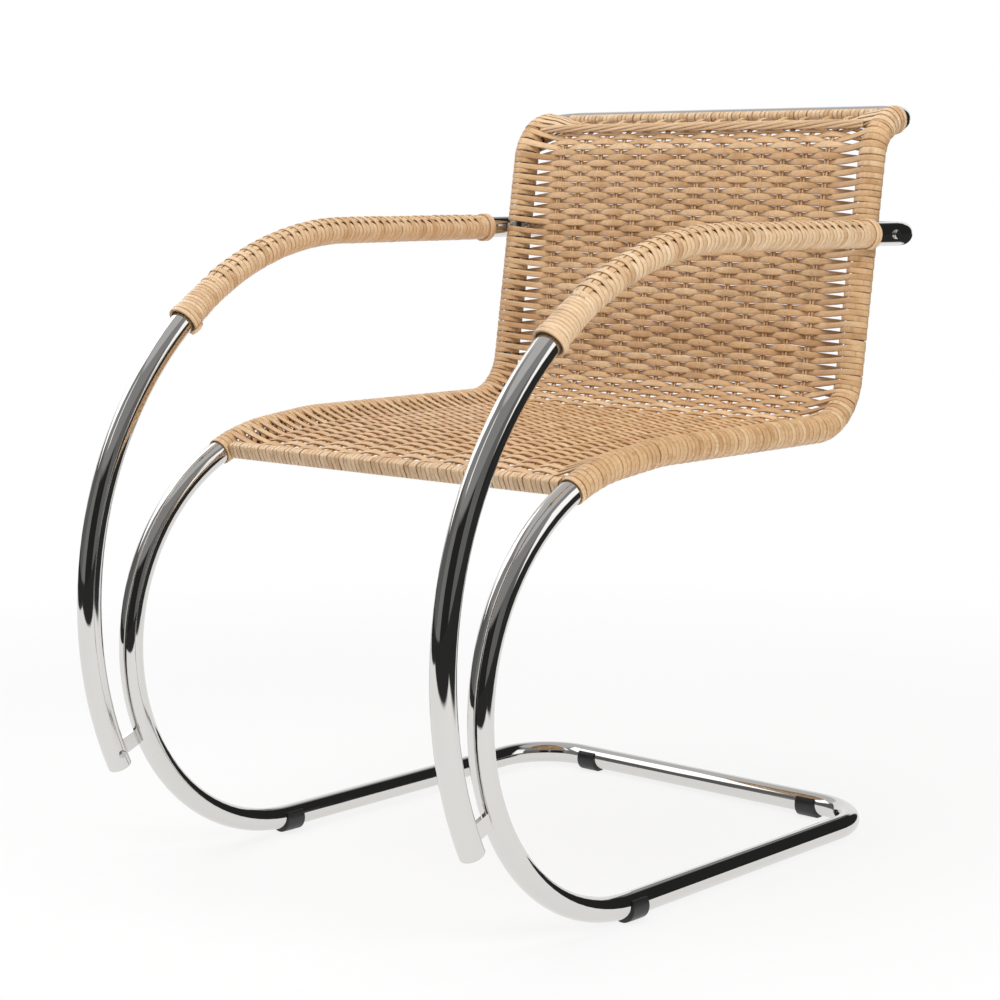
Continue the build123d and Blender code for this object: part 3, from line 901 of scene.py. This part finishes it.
def arm_winding(word, side):
    """The whole winding of one arm."""
    parts = []
    for stations, pitch in ((plain_turns, PLAIN_STRIP_PITCH), (close_turns, ARM_STRIP_PITCH)):
        routes = [arm_turn(station, index % 2) for index, station in enumerate(stations)]
        turns = lay_strands("turns", routes, pitch + STRIP_OVERLAP, ARM_STRIP)
        flat = points_of(turns)
        fold_to_arm(turns, flat[:, 0], flat[:, 1], flat[:, 2], side)
        parts.append(turns)
    leader_width = 2 * LEADER_HALF_ANGLE / LEADER_STRIPS * arm_radius_at(1.0)
    leader = lay_strands(
        "leader", [leader_route(strip) for strip in range(LEADER_STRIPS)], leader_width, LEADER_THICKNESS
    )
    flat = points_of(leader)
    fold_to_arm(leader, flat[:, 2], flat[:, 1], flat[:, 0], side)
    mesh = join_meshes("arm_winding_" + word, parts + [leader])
    cane_piece("arm_winding_" + word, mesh, wrap_cane, "rattan_cane", "arm_wrap_" + word)
    ends = {
        "front": [(1.5 * MM, FRONT_RING_RADIUS, 0.4 * MM), (6.0 * MM, FRONT_RING_RADIUS, -0.3 * MM)],
        "rear": [
            (arm_line.length - 7.5 * MM, REAR_RING_RADIUS, 0.5 * MM),
            (arm_line.length - 2.8 * MM, REAR_RING_RADIUS, 0.8 * MM),
        ],
    }
    for place, rings in ends.items():
        routes = [ring_route(*ring) for ring in rings]
        name = f"arm_{place}_rings_{word}"
        bands = lay_strands(name, routes, BINDING_WIDTH, BINDING_THICKNESS)
        flat = points_of(bands)
        fold_to_arm(bands, flat[:, 0], flat[:, 1], flat[:, 2], side)
        parts = [bands]
        if place == "front":
            tail = lay_strands("tail", [TAIL_ROUTE], TAIL_WIDTH, TAIL_WIDTH, squareness=1.0)
            flat = points_of(tail)
            fold_to_arm(tail, flat[:, 2], flat[:, 1], flat[:, 0], side)
            parts.append(tail)
        cane_piece(name, join_meshes(name, parts), wrap_cane, "rattan_cane", f"arm_{place}_binding_{word}")


arm_winding("left", 1)
arm_winding("right", -1)

# %% [markdown]
# ## Steel and plastic finishes
#
# Chrome plate is a mirror: its look is what it reflects, so the surface only needs full metal, a
# little blur and faint smears. The screws are duller zinc. The glides are moulded black plastic with
# a fine grain. The steel solids stay as they come and take these materials.

# %% Steel and plastic
def surface_material(name, colour, metallic, rough_low, rough_high, scale, bump_height):
    """A plain finish whose roughness drifts over the surface, with a fine grain."""
    material = bpy.data.materials.new(name)
    material.use_nodes = True
    tree = material.node_tree
    links = tree.links
    shader = tree.nodes["Principled BSDF"]
    shader.inputs["Base Color"].default_value = (*colour, 1.0)
    shader.inputs["Metallic"].default_value = metallic
    place = tree.nodes.new("ShaderNodeTexCoord")
    smear = tree.nodes.new("ShaderNodeTexNoise")
    smear.inputs["Scale"].default_value = scale
    smear.inputs["Detail"].default_value = 4.0
    links.new(place.outputs["Object"], smear.inputs["Vector"])
    spread = tree.nodes.new("ShaderNodeMapRange")
    spread.inputs["From Min"].default_value = 0.35
    spread.inputs["From Max"].default_value = 0.7
    spread.inputs["To Min"].default_value = rough_low
    spread.inputs["To Max"].default_value = rough_high
    links.new(smear.outputs["Fac"], spread.inputs["Value"])
    links.new(spread.outputs["Result"], shader.inputs["Roughness"])
    if bump_height:
        grain = tree.nodes.new("ShaderNodeTexNoise")
        grain.inputs["Scale"].default_value = 2500.0
        links.new(place.outputs["Object"], grain.inputs["Vector"])
        bump = tree.nodes.new("ShaderNodeBump")
        bump.inputs["Strength"].default_value = 0.3
        bump.inputs["Distance"].default_value = bump_height
        links.new(grain.outputs["Fac"], bump.inputs["Height"])
        links.new(bump.outputs["Normal"], shader.inputs["Normal"])
    return material


chrome = surface_material("chrome_plate", (0.70, 0.69, 0.67), 1.0, 0.03, 0.08, 14.0, 0.0)
zinc = surface_material("zinc_screw", (0.62, 0.62, 0.63), 1.0, 0.2, 0.35, 90.0, 0.0)
black_plastic = surface_material("black_plastic", (0.012, 0.012, 0.013), 0.0, 0.32, 0.5, 60.0, 0.05 * MM)
bar_steel = surface_material("bar_steel", (0.45, 0.45, 0.46), 1.0, 0.3, 0.5, 60.0, 0.0)
FINISHES = {"chrome_tube": chrome, "steel_screw": zinc, "black_plastic": black_plastic}
finished = 0
for node in frame["record"]["subparts"]:
    finish = FINISHES.get(node["material_slot"])
    if finish is None or nodes[node["node"]].hide_render:
        continue
    solid = nodes[node["node"]]
    solid.data.materials.clear()
    solid.data.materials.append(bar_steel if node["node"] == "seat_front_bar" else finish)
    finished += 1
print(finished, "steel and plastic solids finished")

# %% [markdown]
# ## Studio
#
# The photograph shows the chair in a white studio: a white floor with a faint shadow, soft light from
# above and from the right, and a dark room that shows as dark bands in the chrome. Floor, room and
# lamps are a guess from these reflections. Three small helpers keep the node trees short.

# %% Node helpers
def math_node(tree, operation, first, second):
    """A math node with its two inputs linked or set. Returns its output."""
    node = add_node(tree, "ShaderNodeMath", operation=operation)
    for socket, value in zip(node.inputs, (first, second)):
        if isinstance(value, (int, float)):
            socket.default_value = value
        else:
            tree.links.new(value, socket)
    return node.outputs[0]


def step_node(tree, value, low, high):
    """A smooth step from 0 at low to 1 at high. Returns its output."""
    node = add_node(tree, "ShaderNodeMapRange", interpolation_type="SMOOTHSTEP")
    node.inputs["From Min"].default_value = low
    node.inputs["From Max"].default_value = high
    tree.links.new(value, node.inputs["Value"])
    return node.outputs["Result"]


def toward_node(tree, vector, direction):
    """How far a vector reaches in a direction. Returns the output."""
    node = add_node(tree, "ShaderNodeVectorMath", operation="DOT_PRODUCT")
    node.inputs[1].default_value = direction
    tree.links.new(vector, node.inputs[0])
    return node.outputs["Value"]


print("helpers:", math_node.__name__, step_node.__name__, toward_node.__name__)

# %% [markdown]
# ### Floor
#
# The floor is a sheet of white paper. Near the chair it is partly matt, so that a faint shadow shows,
# and further out it fades into plain white. The chrome mirrors where the paper ends, so beyond three
# soft edges the floor is dark to mirrors, while the camera still sees white.

# %% Floor
FLOOR_SIZE = 30.0
PAPER_SOFT = 0.07
PAPER_EDGES = [
    ((0.748, 0.664, 0.0), 1.07),
    ((0.664, -0.748, 0.0), 1.36),
    ((-0.748, -0.664, 0.0), 2.3),
]
PAPER_DARKENING = 0.97
FADE = (0.75, 1.9)
NEAR_GLOW = 0.8
floor_shape = bmesh.new()
bmesh.ops.create_grid(floor_shape, x_segments=1, y_segments=1, size=FLOOR_SIZE / 2)
floor_mesh = bpy.data.meshes.new("floor")
floor_shape.to_mesh(floor_mesh)
floor_shape.free()
floor = bpy.data.objects.new("floor", floor_mesh)
bpy.context.scene.collection.objects.link(floor)

floor_paint = bpy.data.materials.new("floor_paint")
floor_paint.use_nodes = True
tree = floor_paint.node_tree
links = tree.links
links.clear()
output = tree.nodes["Material Output"]
matt = tree.nodes.new("ShaderNodeBsdfDiffuse")
matt.inputs["Color"].default_value = (0.9, 0.9, 0.9, 1)
glow = tree.nodes.new("ShaderNodeEmission")
mixer = tree.nodes.new("ShaderNodeMixShader")
place = tree.nodes.new("ShaderNodeTexCoord")
path = tree.nodes.new("ShaderNodeLightPath")
distance = add_node(tree, "ShaderNodeVectorMath", operation="LENGTH")
links.new(place.outputs["Object"], distance.inputs[0])
fade = step_node(tree, distance.outputs["Value"], *FADE)
lift = math_node(tree, "MULTIPLY_ADD", fade, 1 - NEAR_GLOW)
lift.node.inputs[2].default_value = NEAR_GLOW
seen = math_node(tree, "MAXIMUM", path.outputs["Is Camera Ray"], path.outputs["Is Glossy Ray"])
beyond = 0.0
for direction, reach in PAPER_EDGES:
    outwards = toward_node(tree, place.outputs["Object"], direction)
    edge = step_node(tree, outwards, reach - PAPER_SOFT, reach + PAPER_SOFT)
    beyond = math_node(tree, "MAXIMUM", edge, beyond)
dark = math_node(tree, "MULTIPLY", beyond, path.outputs["Is Glossy Ray"])
glow_share = math_node(tree, "MULTIPLY", lift, seen)
links.new(math_node(tree, "MAXIMUM", glow_share, dark), mixer.inputs["Fac"])
darkening = math_node(tree, "MULTIPLY", dark, PAPER_DARKENING)
links.new(math_node(tree, "SUBTRACT", 1.0, darkening), glow.inputs["Strength"])
links.new(matt.outputs[0], mixer.inputs[1])
links.new(glow.outputs[0], mixer.inputs[2])
links.new(mixer.outputs[0], output.inputs["Surface"])
floor_mesh.materials.append(floor_paint)
print("floor", FLOOR_SIZE, "m wide, with", len(PAPER_EDGES), "paper edges")

# %% [markdown]
# ### Room
#
# Chrome has no look of its own, so the room has to be there for it to mirror. The room is dark, with
# soft-edged panels for backdrop, walls, ceiling and lamps, each between two azimuths and two
# elevations. The camera sees white behind the chair, and matt surfaces get one even level.

# %% Room
ZERO_HEADING = math.radians(-113.4)
PANEL_SOFT = math.radians(3.0)
ROOM_DARK = 0.022
ROOM_EVEN = 0.40
PANELS = {
    "low_backdrop": (-146, -73, -20, 24, 0.95),
    "backdrop": (-122, -73, 20, 34, 0.95),
    "rear_ceiling": (-130, -58, 28, 64, 0.6),
    "left_wall": (-70, -10, -90, 40, 0.13),
    "left_front": (-12, 26, -90, 40, 0.21),
    "small_lamp": (6, 15, 35, 57, 1.4),
    "front_right": (83, 127, -90, 30, 0.15),
    "right_box": (127, 154, 9, 41, 1.35),
    "ceiling": (-140, 156, 28, 100, 0.28),
    "high_ceiling": (-200, 200, 58, 100, 0.56),
}
world = bpy.data.worlds.new("studio")
bpy.context.scene.world = world
world.use_nodes = True
tree = world.node_tree
links = tree.links
background = tree.nodes["Background"]
path = tree.nodes.new("ShaderNodeLightPath")
ray = tree.nodes.new("ShaderNodeTexCoord").outputs["Generated"]
ahead = toward_node(tree, ray, (math.cos(ZERO_HEADING), math.sin(ZERO_HEADING), 0.0))
aside = toward_node(tree, ray, (-math.sin(ZERO_HEADING), math.cos(ZERO_HEADING), 0.0))
azimuth = math_node(tree, "ARCTAN2", aside, ahead)
elevation = math_node(tree, "ARCSINE", toward_node(tree, ray, (0.0, 0.0, 1.0)), 0.0)


def panel(left, right, bottom, top, value):
    """A soft-edged panel of the room between two azimuths and two elevations, in degrees."""
    for angle, low, high in ((azimuth, left, right), (elevation, bottom, top)):
        low, high = math.radians(low), math.radians(high)
        rising = step_node(tree, angle, low - PANEL_SOFT, low + PANEL_SOFT)
        falling = step_node(tree, angle, high + PANEL_SOFT, high - PANEL_SOFT)
        value = math_node(tree, "MULTIPLY", math_node(tree, "MULTIPLY", rising, falling), value)
    return value


room = ROOM_DARK
for limits in PANELS.values():
    room = math_node(tree, "MAXIMUM", panel(*limits), room)
glossy, through = path.outputs["Is Glossy Ray"], path.outputs["Is Transmission Ray"]
mirror_ray = math_node(tree, "MAXIMUM", glossy, through)
seen = add_node(tree, "ShaderNodeMix", data_type="FLOAT")
seen.inputs["A"].default_value = ROOM_EVEN
links.new(room, seen.inputs["B"])
links.new(mirror_ray, seen.inputs["Factor"])
level = math_node(tree, "MAXIMUM", seen.outputs["Result"], path.outputs["Is Camera Ray"])
links.new(level, background.inputs["Strength"])
background.inputs["Color"].default_value = (1, 1, 1, 1)
print(len(PANELS), "panels in the room")

# %% [markdown]
# ### Lamps
#
# Two large soft lamps, above and to the right, light the cane, and mirrors don't see them, because the
# room's panels stand for them. A small one on the left is the softbox that shows in the chrome.

# %% Lamps
LAMPS = {
    "ceiling_box": ((-0.2, -0.3, 2.6), (0.0, 0.0, 0.4), (2.4, 2.4), 37.0, False),
    "left_box": ((-0.96, -0.29, 1.05), (0.0, 0.0, 0.75), (0.9, 0.75), 3.0, True),
    "right_box": ((2.4, -0.7, 1.6), (0.0, 0.0, 0.5), (1.3, 1.3), 36.0, False),
}
for name, (position, target, (width, height), power, mirrored) in LAMPS.items():
    lamp = bpy.data.lights.new(name, "AREA")
    lamp.shape = "RECTANGLE"
    lamp.size = width
    lamp.size_y = height
    lamp.energy = power
    holder = bpy.data.objects.new(name, lamp)
    holder.location = position
    holder.rotation_euler = (Vector(target) - Vector(position)).to_track_quat("-Z", "Y").to_euler()
    holder.visible_glossy = mirrored
    bpy.context.scene.collection.objects.link(holder)
print("lamps:", ", ".join(LAMPS))

# %% [markdown]
# ### Camera
#
# The camera was found by fitting the arcs of legs and arms, the floor frame and the bars to the
# photograph. Its focal length is kept in pixels of the picture, as it was fitted.

# %% Camera
IMAGE_WIDTH = 1000
FOCAL_PIXELS = 2357.7
CAMERA_TILT = 7.8
CAMERA_HEADING = 41.6
camera_data = bpy.data.cameras.new("camera")
camera_data.sensor_width = 36.0
camera_data.lens = FOCAL_PIXELS / IMAGE_WIDTH * camera_data.sensor_width
camera = bpy.data.objects.new("camera", camera_data)
camera.location = (1.6360, -1.8664, 0.7233)
camera.rotation_euler = Euler((math.radians(90 - CAMERA_TILT), 0, math.radians(CAMERA_HEADING)))
bpy.context.scene.collection.objects.link(camera)
bpy.context.scene.camera = camera
bpy.context.scene.view_settings.view_transform = "Standard"
print("camera lens", round(camera_data.lens, 1), "mm")
